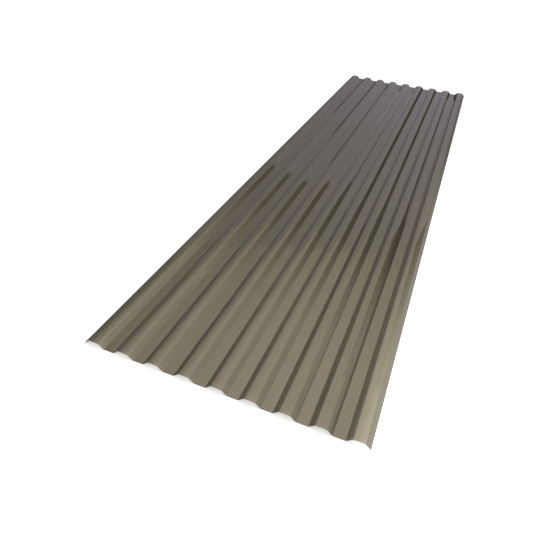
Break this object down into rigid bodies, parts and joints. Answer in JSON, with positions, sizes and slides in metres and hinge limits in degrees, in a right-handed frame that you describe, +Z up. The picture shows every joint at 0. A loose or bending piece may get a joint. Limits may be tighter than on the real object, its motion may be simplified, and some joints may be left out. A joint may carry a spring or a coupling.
{
  "type": "corrugated polycarbonate sheet",
  "caption": "Long translucent grey polycarbonate roofing sheet with low rounded ribs and flat valleys along its length, its long edges trimmed to lap over the next sheet.",
  "frame": {"origin": "on the floor under the middle of the sheet: the centre of the bounding box's bottom face", "axes": "+X across the ribs, +Y along the ribs, +Z up, from the valleys' underside to the crowns"},
  "size_m": [0.6604, 2.4384, 0.013],
  "materials": {
    "smoked_polycarbonate": "extruded and thermoformed polycarbonate, smoked grey all through, clear enough to see shapes through, glossy on both faces"
  },
  "bodies": {
    "root": {"corrugated_sheet": "smoked_polycarbonate"}
  },
  "joints": []
}
